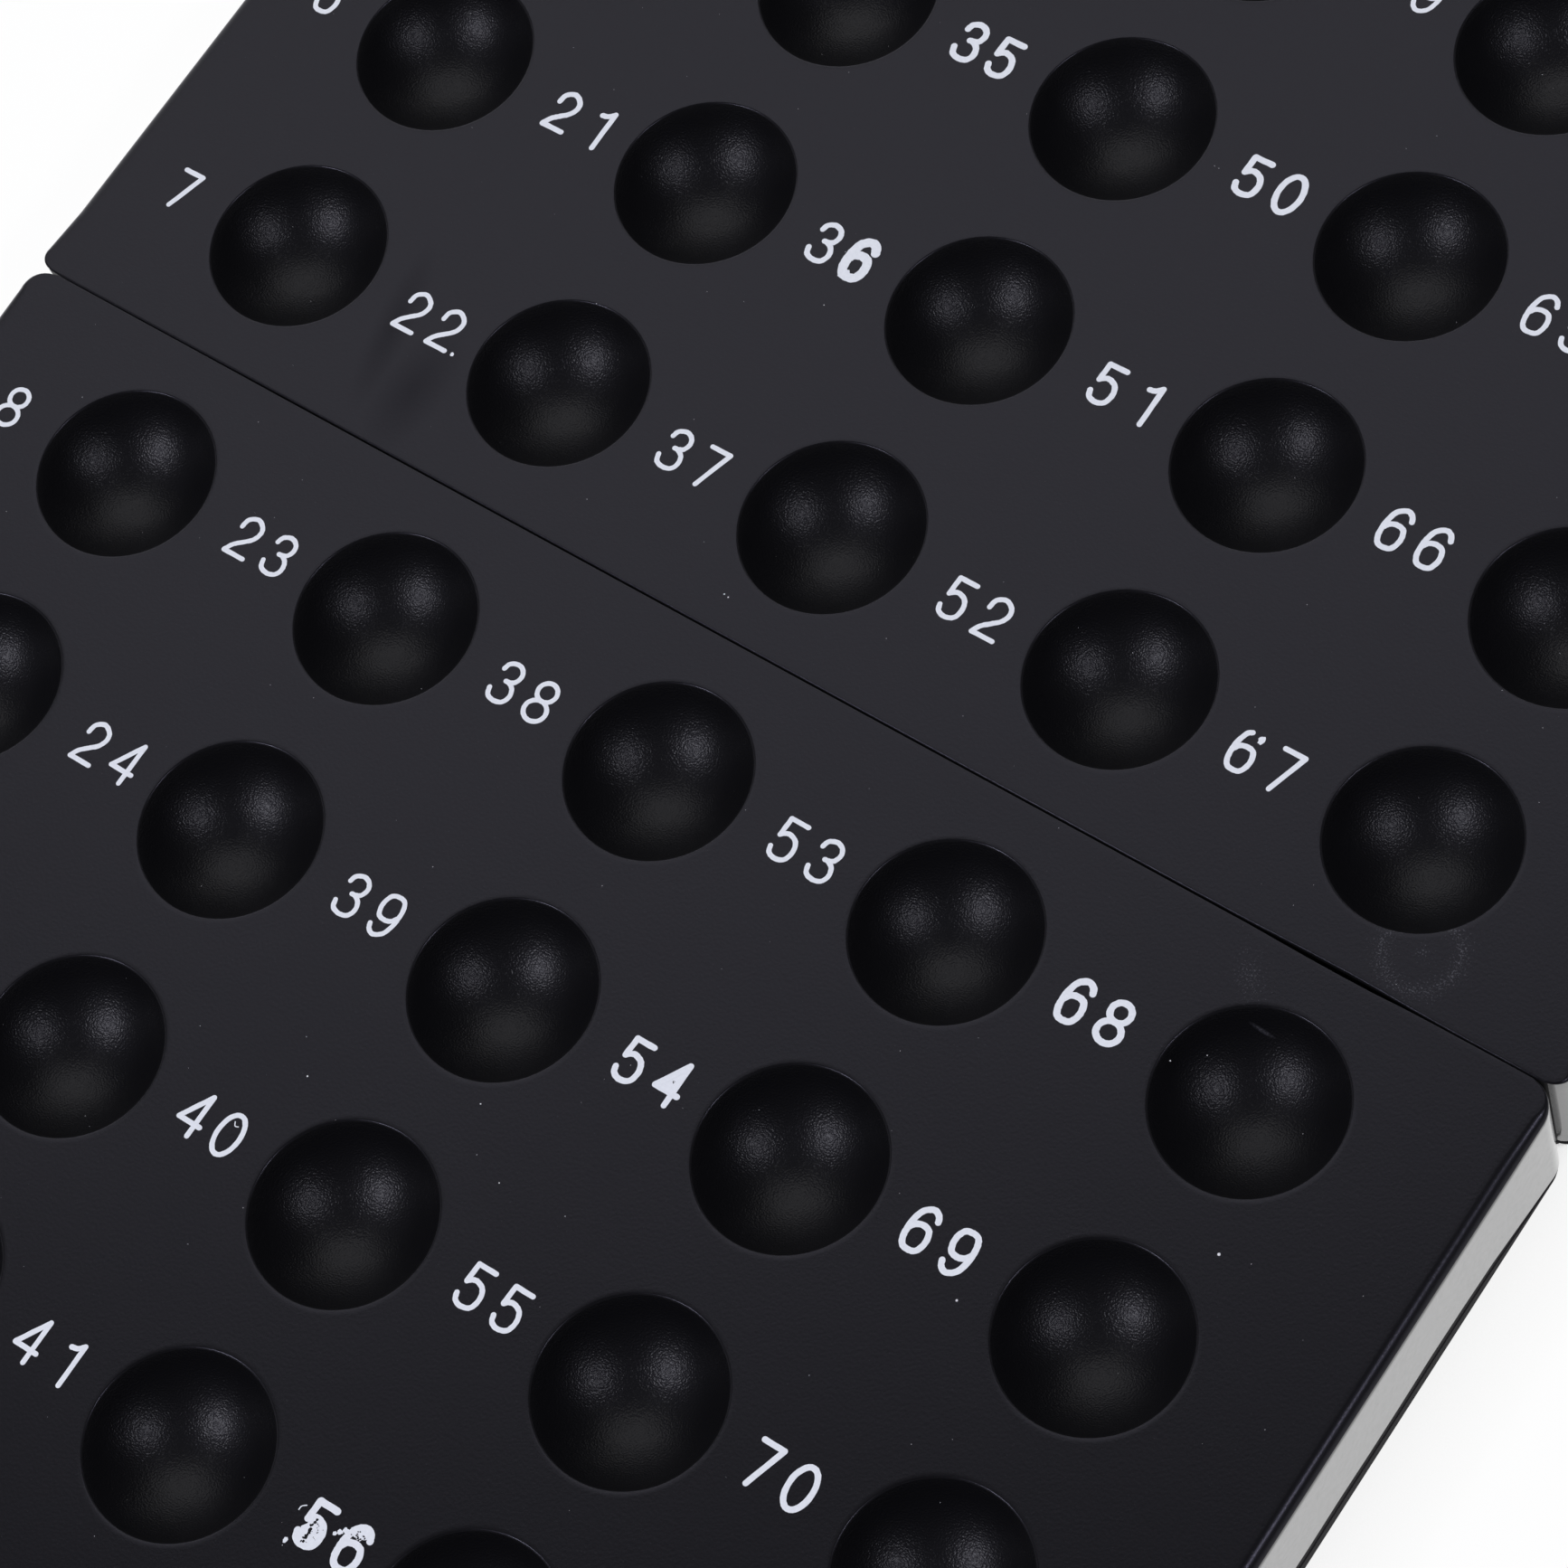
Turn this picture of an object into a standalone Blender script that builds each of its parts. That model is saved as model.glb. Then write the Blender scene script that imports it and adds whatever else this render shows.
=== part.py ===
"""Ball board of a bingo cage set: two moulded black halves that push together end to end.

The board lies flat with its columns along X and its rows along Y. The seam between the halves
runs along X through the origin, and the feet of the walls stand on Z = 0. The upper half is
towards +Y. It carries a bare heading band and seven rows of cups, and the lower half carries
eight. Four flat keys bridge the seam under the board: they are pressed into the lower half, and
the upper half slides off them along +Y.
"""

import math

import bmesh
import bpy
from mathutils import Vector

MM = 0.001

# The balls and the cups that hold them.
BALL_DIAMETER = 22.0 * MM
CUP_EASE = 0.5 * MM
CUP_DEPTH = 7.1 * MM
CUP_RADIUS = BALL_DIAMETER / 2 + CUP_EASE

# The grid of cups.
COLUMNS = 5
UPPER_ROWS = 7
LOWER_ROWS = 8
COLUMN_PITCH = 38.0 * MM
ROW_PITCH = 29.5 * MM

# The moulded shell of a half, measured on its outside.
SEAM_GAP = 0.3 * MM
SEAM_MARGIN = 16.75 * MM
END_MARGIN = 16.75 * MM
SIDE_MARGIN = 27.0 * MM
SKIN = 1.6 * MM
CUP_TO_TABLE = 9.3 * MM
TOP_EDGE_RADIUS = 1.6 * MM
SEAM_EDGE_RADIUS = 0.5 * MM
SEAM_CORNER_RADIUS = 2.2 * MM
END_CORNER_RADIUS = 5.0 * MM
LEAST_CORNER_RADIUS = 0.5 * MM
BOARD_WIDTH = (COLUMNS - 1) * COLUMN_PITCH + 2 * SIDE_MARGIN
HALF_LENGTH = SEAM_MARGIN + (LOWER_ROWS - 1) * ROW_PITCH + END_MARGIN
BOARD_HEIGHT = CUP_DEPTH + SKIN + CUP_TO_TABLE
ROOF = BOARD_HEIGHT - SKIN

# The keys that line the halves up, and their sockets under both halves.
KEY_WIDTH = 8.0 * MM
KEY_HEIGHT = 4.0 * MM
KEY_REACH = 12.0 * MM
KEY_CHAMFER = 0.8 * MM
KEY_FIT = 0.3 * MM
WINDOW_DROP = 0.5 * MM
RIB = 1.2 * MM
WINDOW_TOP = ROOF - WINDOW_DROP
KEY_TOP = WINDOW_TOP - KEY_FIT
KEY_BOTTOM = KEY_TOP - KEY_HEIGHT
SILL = KEY_BOTTOM - KEY_FIT

# How finely round shapes are cut, and how far a cutter runs past what it cuts.
CUP_SEGMENTS = 16
CUP_BANDS = 3
DOME_SEGMENTS = 10
DOME_BANDS = 3
CORNER_SEGMENTS = 4
EDGE_SEGMENTS = 3
SHARP_ANGLE = math.radians(40)
OVERRUN = 1.0 * MM
MERGE_DISTANCE = OVERRUN / 100

PLASTIC_COLOUR = (0.017, 0.0165, 0.019, 1.0)
KEY_COLOUR = (0.03, 0.03, 0.033, 1.0)


def clear_scene():
    for obj in list(bpy.data.objects):
        bpy.data.objects.remove(obj, do_unlink=True)


def new_collection(name):
    collection = bpy.data.collections.new(name)
    bpy.context.scene.collection.children.link(collection)
    return collection


def plastic(name, colour, roughness):
    material = bpy.data.materials.new(name)
    material.use_nodes = True
    shader = material.node_tree.nodes["Principled BSDF"]
    shader.inputs["Base Color"].default_value = colour
    shader.inputs["Roughness"].default_value = roughness
    shader.inputs["Metallic"].default_value = 0.0
    return material


def object_from(bm, name, collection):
    """A new object that holds the mesh of bm, its faces pointing out."""
    bmesh.ops.recalc_face_normals(bm, faces=bm.faces[:])
    mesh = bpy.data.meshes.new(name)
    bm.to_mesh(mesh)
    bm.free()
    obj = bpy.data.objects.new(name, mesh)
    collection.objects.link(obj)
    return obj


def as_cutter(obj):
    obj.hide_render = True
    obj.display_type = "WIRE"
    return obj


def cut(obj, cutter, name):
    modifier = obj.modifiers.new(name, "BOOLEAN")
    modifier.operation = "DIFFERENCE"
    modifier.solver = "EXACT"
    modifier.object = cutter
    return modifier


def extrude_outline(points, low, high):
    """A closed prism over an outline of (x, y) points, from the height low to the height high."""
    bm = bmesh.new()
    foot = bm.faces.new([bm.verts.new((x, y, low)) for x, y in points])
    raised = bmesh.ops.extrude_face_region(bm, geom=[foot])["geom"]
    tops = [item for item in raised if isinstance(item, bmesh.types.BMVert)]
    bmesh.ops.translate(bm, verts=tops, vec=Vector((0, 0, high - low)))
    return bm


def corner_arc(x, y, radius, start):
    """A quarter circle about (x, y), from the angle start onwards."""
    arc = []
    for step in range(CORNER_SEGMENTS + 1):
        angle = start + math.pi / 2 * step / CORNER_SEGMENTS
        arc.append((x + radius * math.cos(angle), y + radius * math.sin(angle)))
    return arc


def half_outline(side, inset):
    """The plan of a half, drawn in by inset all round. side is 1 for the upper half, else -1."""
    seam_radius = max(SEAM_CORNER_RADIUS - inset, LEAST_CORNER_RADIUS)
    end_radius = max(END_CORNER_RADIUS - inset, LEAST_CORNER_RADIUS)
    edge = BOARD_WIDTH / 2 - inset
    near = SEAM_GAP / 2 + inset
    far = SEAM_GAP / 2 + HALF_LENGTH - inset
    points = corner_arc(edge - end_radius, far - end_radius, end_radius, 0)
    points += corner_arc(end_radius - edge, far - end_radius, end_radius, math.pi / 2)
    points += corner_arc(seam_radius - edge, near + seam_radius, seam_radius, math.pi)
    points += corner_arc(edge - seam_radius, near + seam_radius, seam_radius, -math.pi / 2)
    return [(x, side * y) for x, y in points]


def cup_places(side, rows):
    """The (x, y) of each cup's centre on one half."""
    places = []
    for row in range(rows):
        y = side * (SEAM_GAP / 2 + SEAM_MARGIN + row * ROW_PITCH)
        for column in range(COLUMNS):
            x = (column - (COLUMNS - 1) / 2) * COLUMN_PITCH
            places.append((x, y))
    return places


def key_places():
    """The x of each key, midway between two columns."""
    return [(index + 1 - COLUMNS / 2) * COLUMN_PITCH for index in range(COLUMNS - 1)]


def bowl(radius, top, segments, bands, name, collection):
    """The part of a cup's sphere below the height top, grown or shrunk to radius, as a turned solid."""
    centre = BOARD_HEIGHT - CUP_DEPTH + CUP_RADIUS
    widest = math.acos((centre - top) / radius)
    profile = [(0, top)]
    for band in range(bands, 0, -1):
        angle = widest * band / bands
        profile.append((radius * math.sin(angle), centre - radius * math.cos(angle)))
    profile.append((0, centre - radius))
    bm = bmesh.new()
    points = [bm.verts.new((x, 0, z)) for x, z in profile]
    for first, second in zip(points, points[1:]):
        bm.edges.new((first, second))
    mesh = bpy.data.meshes.new(name)
    bm.to_mesh(mesh)
    bm.free()
    obj = bpy.data.objects.new(name, mesh)
    collection.objects.link(obj)
    turn = obj.modifiers.new("turn", "SCREW")
    turn.steps = segments
    turn.render_steps = segments
    turn.use_merge_vertices = True
    turn.merge_threshold = MERGE_DISTANCE
    return as_cutter(obj)


def scattered(pattern, places, name, collection):
    """One cutter that holds a copy of the turned pattern at each place."""
    graph = bpy.context.evaluated_depsgraph_get()
    turned = bpy.data.meshes.new_from_object(pattern.evaluated_get(graph))
    bm = bmesh.new()
    for x, y in places:
        before = len(bm.verts)
        bm.from_mesh(turned)
        bm.verts.ensure_lookup_table()
        bmesh.ops.translate(bm, verts=bm.verts[before:], vec=Vector((x, y, 0)))
    bpy.data.meshes.remove(turned)
    return as_cutter(object_from(bm, name, collection))


def socket_ribs(x, side, name, collection):
    """The U of ribs round one key's socket, which hangs from the roof and grows out of the wall."""
    inner = KEY_WIDTH / 2 + KEY_FIT
    outer = inner + RIB
    start = SEAM_GAP / 2 + SKIN - OVERRUN / 2
    floor = SEAM_GAP / 2 + KEY_REACH + KEY_FIT
    end = floor + RIB
    plan = [
        (x - outer, start),
        (x - outer, end),
        (x + outer, end),
        (x + outer, start),
        (x + inner, start),
        (x + inner, floor),
        (x - inner, floor),
        (x - inner, start),
    ]
    bm = extrude_outline([(px, side * py) for px, py in plan], SILL, ROOF + OVERRUN / 2)
    return as_cutter(object_from(bm, name, collection))


def key_window(x, side, name, collection):
    """The cutter that opens the seam wall for one key."""
    inner = KEY_WIDTH / 2 + KEY_FIT
    start = SEAM_GAP / 2 - OVERRUN
    end = SEAM_GAP / 2 + SKIN + OVERRUN
    plan = [(x - inner, start), (x + inner, start), (x + inner, end), (x - inner, end)]
    bm = extrude_outline([(px, side * py) for px, py in plan], SILL, WINDOW_TOP)
    return as_cutter(object_from(bm, name, collection))


def edge_share(edge):
    """How much of the top edge's radius an edge takes: little along the seam, all of it past the corner."""
    middle = (edge.verts[0].co + edge.verts[1].co) / 2
    past_seam = abs(middle.y) - SEAM_GAP / 2
    return min(max(past_seam / SEAM_CORNER_RADIUS, SEAM_EDGE_RADIUS / TOP_EDGE_RADIUS), 1)


def shell(name, side, collection):
    """The outer block of a half, its top edges rounded, and nearly sharp along the seam."""
    bm = extrude_outline(half_outline(side, 0), 0, BOARD_HEIGHT)
    weight = bm.edges.layers.float.new("bevel_weight_edge")
    for edge in bm.edges:
        if all(vert.co.z > BOARD_HEIGHT / 2 for vert in edge.verts):
            edge[weight] = edge_share(edge)
    obj = object_from(bm, name, collection)
    rounded = obj.modifiers.new("rounded top edge", "BEVEL")
    rounded.limit_method = "WEIGHT"
    rounded.width = TOP_EDGE_RADIUS
    rounded.segments = EDGE_SEGMENTS
    return obj


def half(name, side, rows, material, parts, cutters):
    """One moulded half: an open-bottomed tray with a cup pressed down at every place."""
    places = cup_places(side, rows)
    hollow = extrude_outline(half_outline(side, SKIN), -OVERRUN, ROOF)
    hollow = as_cutter(object_from(hollow, name + "_hollow", cutters))
    pattern = bowl(
        CUP_RADIUS + SKIN, ROOF + OVERRUN, DOME_SEGMENTS, DOME_BANDS, name + "_dome", cutters
    )
    domes = scattered(pattern, places, name + "_domes", cutters)
    cut(hollow, domes, "room for the domes")
    for number, x in enumerate(key_places(), 1):
        ribs = socket_ribs(x, side, f"{name}_ribs_{number}", cutters)
        cut(hollow, ribs, f"socket ribs {number}")
    pattern = bowl(
        CUP_RADIUS, BOARD_HEIGHT + OVERRUN, CUP_SEGMENTS, CUP_BANDS, name + "_cup", cutters
    )
    cups = scattered(pattern, places, name + "_cups", cutters)
    tray = shell(name, side, parts)
    cut(tray, hollow, "hollow underside")
    cut(tray, cups, "cups")
    for number, x in enumerate(key_places(), 1):
        window = key_window(x, side, f"{name}_window_{number}", cutters)
        cut(tray, window, f"key window {number}")
    tray.data.materials.append(material)
    tray.data.shade_smooth()
    tray.data.set_sharp_from_angle(angle=SHARP_ANGLE)
    return tray


def key(number, x, material, collection):
    """A flat key across the seam, with chamfered ends that find the sockets."""
    reach = SEAM_GAP / 2 + KEY_REACH
    slim = KEY_WIDTH / 2 - KEY_CHAMFER
    wide = KEY_WIDTH / 2
    waist = reach - KEY_CHAMFER
    plan = [
        (x - slim, -reach),
        (x + slim, -reach),
        (x + wide, -waist),
        (x + wide, waist),
        (x + slim, reach),
        (x - slim, reach),
        (x - wide, waist),
        (x - wide, -waist),
    ]
    bm = extrude_outline(plan, KEY_BOTTOM, KEY_TOP)
    obj = object_from(bm, f"seam_key_{number}", collection)
    obj.data.materials.append(material)
    return obj


def pivot(name, collection):
    """An empty at the middle of the seam, where the halves part."""
    empty = bpy.data.objects.new(name, None)
    collection.objects.link(empty)
    return empty


def main():
    clear_scene()
    parts = new_collection("ball_board")
    cutters = new_collection("cutters")
    board_plastic = plastic("black_board_plastic", PLASTIC_COLOUR, 0.55)
    key_plastic = plastic("black_key_plastic", KEY_COLOUR, 0.45)
    fixed = pivot("board_seam", parts)
    slide = pivot("upper_half_slide", parts)
    lower = half("lower_half", -1, LOWER_ROWS, board_plastic, parts, cutters)
    upper = half("upper_half", 1, UPPER_ROWS, board_plastic, parts, cutters)
    lower.parent = fixed
    upper.parent = slide
    for number, x in enumerate(key_places(), 1):
        key(number, x, key_plastic, parts).parent = fixed


main()
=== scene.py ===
"""The looks of the ball board: two black moulded trays, their printed numbers and their keys.

Lengths are in metres, and all but the lamps' are written as a number of millimetres times MM.
Each half is worked out from the size of its own solid in the frame. A point on a half is first
given as x, along the seam, and v, the distance from the seam's face, and then set towards +Y or
-Y.
"""

import math
import random

import bmesh
import bpy
from mathutils import Matrix, Vector


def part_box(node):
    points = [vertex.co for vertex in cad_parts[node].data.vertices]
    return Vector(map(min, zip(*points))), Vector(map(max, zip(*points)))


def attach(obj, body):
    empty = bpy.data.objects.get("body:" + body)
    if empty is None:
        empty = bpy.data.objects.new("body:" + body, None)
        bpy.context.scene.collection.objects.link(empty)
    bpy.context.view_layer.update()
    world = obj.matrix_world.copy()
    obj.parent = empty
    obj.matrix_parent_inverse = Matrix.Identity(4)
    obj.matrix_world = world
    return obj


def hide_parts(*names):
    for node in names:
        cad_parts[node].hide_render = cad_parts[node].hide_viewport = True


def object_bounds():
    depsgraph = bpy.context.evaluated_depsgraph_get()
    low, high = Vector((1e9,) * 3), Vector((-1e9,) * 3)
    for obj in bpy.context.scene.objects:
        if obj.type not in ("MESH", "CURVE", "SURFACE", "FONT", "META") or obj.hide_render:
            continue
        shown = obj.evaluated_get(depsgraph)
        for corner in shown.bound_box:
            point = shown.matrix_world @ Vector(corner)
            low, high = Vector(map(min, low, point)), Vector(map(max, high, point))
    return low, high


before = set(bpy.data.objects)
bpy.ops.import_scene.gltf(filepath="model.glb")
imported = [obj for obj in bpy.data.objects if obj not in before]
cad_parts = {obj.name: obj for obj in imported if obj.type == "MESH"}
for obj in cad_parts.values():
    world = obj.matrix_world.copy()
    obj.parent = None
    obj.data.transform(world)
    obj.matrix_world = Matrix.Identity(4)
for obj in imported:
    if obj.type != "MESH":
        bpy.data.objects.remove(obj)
cad_low, cad_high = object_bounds()

MM = 0.001

# The grid of cups, and the balls' cups themselves.
COLUMNS = 5
UPPER_ROWS = 7
LOWER_ROWS = 8
ROWS = UPPER_ROWS + LOWER_ROWS
CUPS = COLUMNS * ROWS
COLUMN_PITCH = 38.0 * MM
ROW_PITCH = 29.5 * MM
SEAM_GAP = 0.3 * MM
SEAM_MARGIN = 16.75 * MM
CUP_RADIUS = 11.5 * MM
CUP_DEPTH = 7.1 * MM
RIM_ROUND = 0.3 * MM
RIM_LAND = 0.4 * MM

# The ink: how high it stands on the face at most, how high its strokes, blots and voids begin, how
# much lower each stroke or blot lies than the one before, and how far a stroke sinks on its way.
INK_THICKNESS = 0.03 * MM
STROKE_RISE = 0.027 * MM
STROKE_STEP = 0.003 * MM
STROKE_SINK = 0.002 * MM
BLOT_RISE = 0.015 * MM
BLOT_STEP = 0.0015 * MM
VOID_RISE = 0.0285 * MM

# The moulded walls. The top edge is rounded finely at the seam and more within EDGE_GROWTH of it.
# It is satin like the face down to the angle GLOSS_START, and polished from there on.
BOARD_WIDTH = cad_high.x - cad_low.x
BOARD_HEIGHT = cad_high.z
HALF_LENGTH = cad_high.y - SEAM_GAP / 2
FACE = BOARD_HEIGHT - INK_THICKNESS
SKIN = 1.6 * MM
ROOF = BOARD_HEIGHT - SKIN
SIDE_EDGE_RADIUS = 1.6 * MM
SEAM_EDGE_RADIUS = 0.22 * MM
EDGE_GROWTH = 5.0 * MM
EDGE_LAND = 0.5 * MM
LOWER_SEAM_CORNER = 3.4 * MM
UPPER_SEAM_CORNER = 2.2 * MM
END_CORNER_RADIUS = 5.0 * MM
GLOSS_START = math.radians(71)

# The rebate at the foot of the side walls, with the fine ridge that the mould's joint leaves in it.
# The rebate's dull dark finish is painted shade: the contact shadow at the foot and its reflection
# in the wall.
REBATE_LOW = 1.4 * MM
REBATE_HIGH = 4.3 * MM
REBATE_REACH = 20.0 * MM
REBATE_DEPTH = 0.25 * MM
REBATE_STEP = 0.15 * MM
RIDGE_HEIGHT = 0.12 * MM
REBATE_UNEVENNESS = 0.06

# The sockets of the keys. Their ribs are rooted a little way into the walls they stand on.
KEY_HALF_WIDTH = (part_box("seam_key_1")[1].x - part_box("seam_key_1")[0].x) / 2
KEY_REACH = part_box("seam_key_1")[1].y - SEAM_GAP / 2
KEY_FIT = 0.3 * MM
KEY_ROUND = 0.25 * MM
RIB = 1.2 * MM
RIB_ROOT = 0.3 * MM
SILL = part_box("seam_key_1")[0].z - KEY_FIT
WINDOW_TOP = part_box("seam_key_1")[1].z + KEY_FIT

# The finishes of a half and those of its print, in the order of their materials. The print's second
# one is the bare plastic that shows in a void of the ink.
SATIN, GRAINED, POLISHED, FOOT_SHADE, UNDERSIDE = range(5)
INK, BARE = range(2)

# How finely round shapes are cut.
CUP_SEGMENTS = 64
CUP_BANDS = 12
RIM_BANDS = 4
DOME_SEGMENTS = 32
DOME_BANDS = 6
CORNER_STEPS = 10
EDGE_STEPS = 14
KEY_BANDS = 3
SEAM_STEP = 4.0 * MM
SIDE_STEP = 6.0 * MM
LINE_STEPS = 4
CURVE_STEPS = 5
LOOP_STEPS = 32
END_STEPS = 4
BLOT_STEPS = 14
VOID_STEPS = 8
SHARP_ANGLE = math.radians(38)

# Where each series of random draws starts, so that every run gives the same.
REBATE_SEED = 11
PRINT_SEED = 75
SPECK_SEED = 4

# The halves touch, or nearly, below the windows of the keys. Above them the gap's width along the
# seam is given as pairs of x and gap. It opens near one end and closes at the other.
SEAM_FOOT_GAP = 0.04 * MM
SEAM_GAPS = [
    (-103.0 * MM, 0.06 * MM),
    (-84.0 * MM, 0.10 * MM),
    (-62.0 * MM, 0.18 * MM),
    (48.0 * MM, 0.18 * MM),
    (64.0 * MM, 0.22 * MM),
    (73.0 * MM, 0.52 * MM),
    (79.0 * MM, 0.6 * MM),
    (84.0 * MM, 0.26 * MM),
    (90.0 * MM, 0.13 * MM),
    (103.0 * MM, 0.1 * MM),
]

# The printed numbers: their size, their pen stroke, and how unevenly the ink's borders run.
DIGIT_WIDTH = 2.7 * MM
DIGIT_HEIGHT = 4.92 * MM
DIGIT_PITCH = 4.86 * MM
STROKE = 0.58 * MM
STROKE_SPREAD = 0.05
BORDER_UNEVENNESS = 0.07
SPOT_UNEVENNESS = 0.22
# A rounded end stops this much of a step short of its tip, so that it ends in a narrow edge.
ROUND_END_REST = 0.3
# The labels' faults of place and weight: each column's start and each row's rise, numbers that
# stand a little to one side, and numbers in a heavier stroke.
LABEL_STARTS = [-23.23 * MM, -21.8 * MM, -22.56 * MM, -22.18 * MM, -23.05 * MM]
LABEL_RISES = [0.42 * MM] * 5 + [0.04 * MM, -0.51 * MM, 0.34 * MM, 0.57 * MM] + [0.8 * MM] * 6
LABEL_NUDGES = {8: -0.4 * MM, 56: 0.7 * MM}
HEAVY_STROKES = {
    21: 0.66 * MM, 35: 0.76 * MM, 36: 0.66 * MM, 50: 0.74 * MM, 51: 0.66 * MM, 54: 0.68 * MM,
    56: 0.78 * MM, 66: 0.64 * MM, 67: 0.62 * MM, 68: 0.76 * MM, 69: 0.7 * MM, 70: 0.68 * MM,
}

# The faults of the print. A digit is known by its number and its place in it, first or second.
# Blots are islands of too much ink: the digit, and the middle and radii as shares of its size.
HEAVY_DIGITS = {(36, 1): 1.1 * MM}
BROKEN_DIGITS = {(67, 0): "broken 6"}
BLOTS = [
    ((36, 1), (0.30, 0.02), (0.34, 0.13)),
    ((36, 1), (0.08, 0.16), (0.16, 0.13)),
    ((54, 1), (0.58, 0.50), (0.30, 0.20)),
    ((54, 1), (0.72, 0.76), (0.14, 0.18)),
    ((54, 1), (0.34, 0.38), (0.26, 0.10)),
    ((56, 0), (0.48, 0.32), (0.40, 0.27)),
    ((56, 1), (0.42, 0.86), (0.40, 0.17)),
    ((56, 0), (-0.19, -0.10), (0.09, 0.07)),
    ((56, 1), (-0.46, 0.57), (0.08, 0.05)),
    ((56, 1), (-0.33, 0.65), (0.12, 0.055)),
    ((56, 1), (-0.17, 0.74), (0.12, 0.06)),
    ((67, 0), (0.84, 0.89), (0.15, 0.10)),
    ((22, 1), (1.40, 0.01), (0.09, 0.05)),
]
# Voids are bare spots inside the ink: the digit, their middle and spread, how many, and their size.
# They scatter by VOID_SCATTER of the spread, and the smallest has VOID_LEAST of the size.
VOID_SCATTER = 0.5
VOID_LEAST = 0.4
VOIDS = [
    ((54, 1), (0.60, 0.50), (0.12, 0.10), 4, 0.09 * MM),
    ((56, 0), (0.42, 0.30), (0.07, 0.26), 24, 0.2 * MM),
    ((56, 0), (0.64, 0.42), (0.20, 0.18), 14, 0.08 * MM),
    ((56, 1), (0.45, 0.77), (0.26, 0.09), 16, 0.15 * MM),
]
# Hairs are fine stray lines of ink: the digit, and the points that the line runs through.
HAIR_STROKE = 0.12 * MM
HAIRS = [
    ((40, 1), [(0.40, 0.82), (0.50, 0.74), (0.64, 0.76)]),
    ((56, 0), [(-0.45, 0.58), (-0.43, 0.67), (-0.28, 0.74)]),
]

# Grains of dust, as x, y and radius, and how many finer specks lie about, with their least and
# greatest radius. Each stands a little out of the surface that it lies on.
DUST = [
    (82.23 * MM, -32.39 * MM, 0.17 * MM), (61.77 * MM, -50.27 * MM, 0.13 * MM),
    (-12.83 * MM, -65.28 * MM, 0.1 * MM), (66.04 * MM, -16.82 * MM, 0.11 * MM),
    (68.34 * MM, -13.77 * MM, 0.07 * MM), (12.6 * MM, -64.4 * MM, 0.08 * MM),
    (5.6 * MM, -58.2 * MM, 0.08 * MM), (-5.3 * MM, 4.2 * MM, 0.09 * MM),
    (-5.9 * MM, 4.3 * MM, 0.1 * MM), (-16.69 * MM, 39.7 * MM, 0.06 * MM),
]
SPECKS = 420
SPECK_RADIUS = (0.018 * MM, 0.045 * MM)

# The pen's path for a 6, which a 9 repeats upside down.
SIX = [
    (0.92, 0.82), (0.80, 0.95), (0.52, 1.01), (0.17, 0.88), (0.02, 0.62), (0.0, 0.40), (0.04, 0.2),
    (0.19, 0.04), (0.47, 0.0), (0.80, 0.06), (0.94, 0.305), (0.82, 0.55), (0.5, 0.61), (0.2, 0.56),
    (0.05, 0.45),
]
# Each digit's pen strokes, as shares of its width and height. A curve runs smoothly through its
# points, and a loop has a middle and radii.
STROKE_SHARES = {
    "0": [("loop", [(0.5, 0.5), (0.51, 0.5)])],
    "1": [
        ("curve", [(0.36, 0.845), (0.62, 0.88), (0.86, 1.0)]),
        ("line", [(0.86, 1.0), (0.86, 0.0)]),
    ],
    "2": [
        ("curve", [
            (0.06, 0.685), (0.14, 0.89), (0.51, 1.0), (0.88, 0.89), (0.985, 0.72), (0.845, 0.515),
            (0.50, 0.345), (0.19, 0.19), (0.0, 0.0),
        ]),
        ("line", [(0.0, 0.0), (1.0, 0.0)]),
    ],
    "3": [
        ("curve", [
            (0.07, 0.77), (0.17, 0.92), (0.5, 1.0), (0.82, 0.93), (0.945, 0.775), (0.84, 0.60),
            (0.60, 0.535),
        ]),
        ("line", [(0.46, 0.53), (0.60, 0.535)]),
        ("curve", [
            (0.60, 0.535), (0.88, 0.44), (1.0, 0.25), (0.86, 0.06), (0.5, 0.0), (0.14, 0.06),
            (0.01, 0.235),
        ]),
    ],
    "4": [
        ("line", [(0.83, 1.03), (0.02, 0.297)]),
        ("line", [(0.02, 0.297), (1.08, 0.297)]),
        ("line", [(0.83, 1.03), (0.83, 0.0)]),
    ],
    "5": [
        ("line", [(0.92, 0.975), (0.1, 0.975)]),
        ("line", [(0.1, 0.975), (0.07, 0.53)]),
        ("curve", [
            (0.07, 0.53), (0.25, 0.61), (0.47, 0.635), (0.80, 0.55), (0.95, 0.335), (0.84, 0.08),
            (0.45, 0.0), (0.12, 0.06), (0.0, 0.21),
        ]),
    ],
    "6": [("curve", SIX)],
    "7": [("line", [(0.045, 0.98), (0.96, 0.98)]), ("line", [(0.96, 0.98), (0.38, 0.0)])],
    "8": [("loop", [(0.507, 0.755), (0.433, 0.235)]), ("loop", [(0.507, 0.26), (0.504, 0.26)])],
    "9": [("curve", [(1 - x, 1 - y) for x, y in SIX])],
    "broken 6": [("curve", [(0.34, 0.95)] + SIX[3:])],
}

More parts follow.
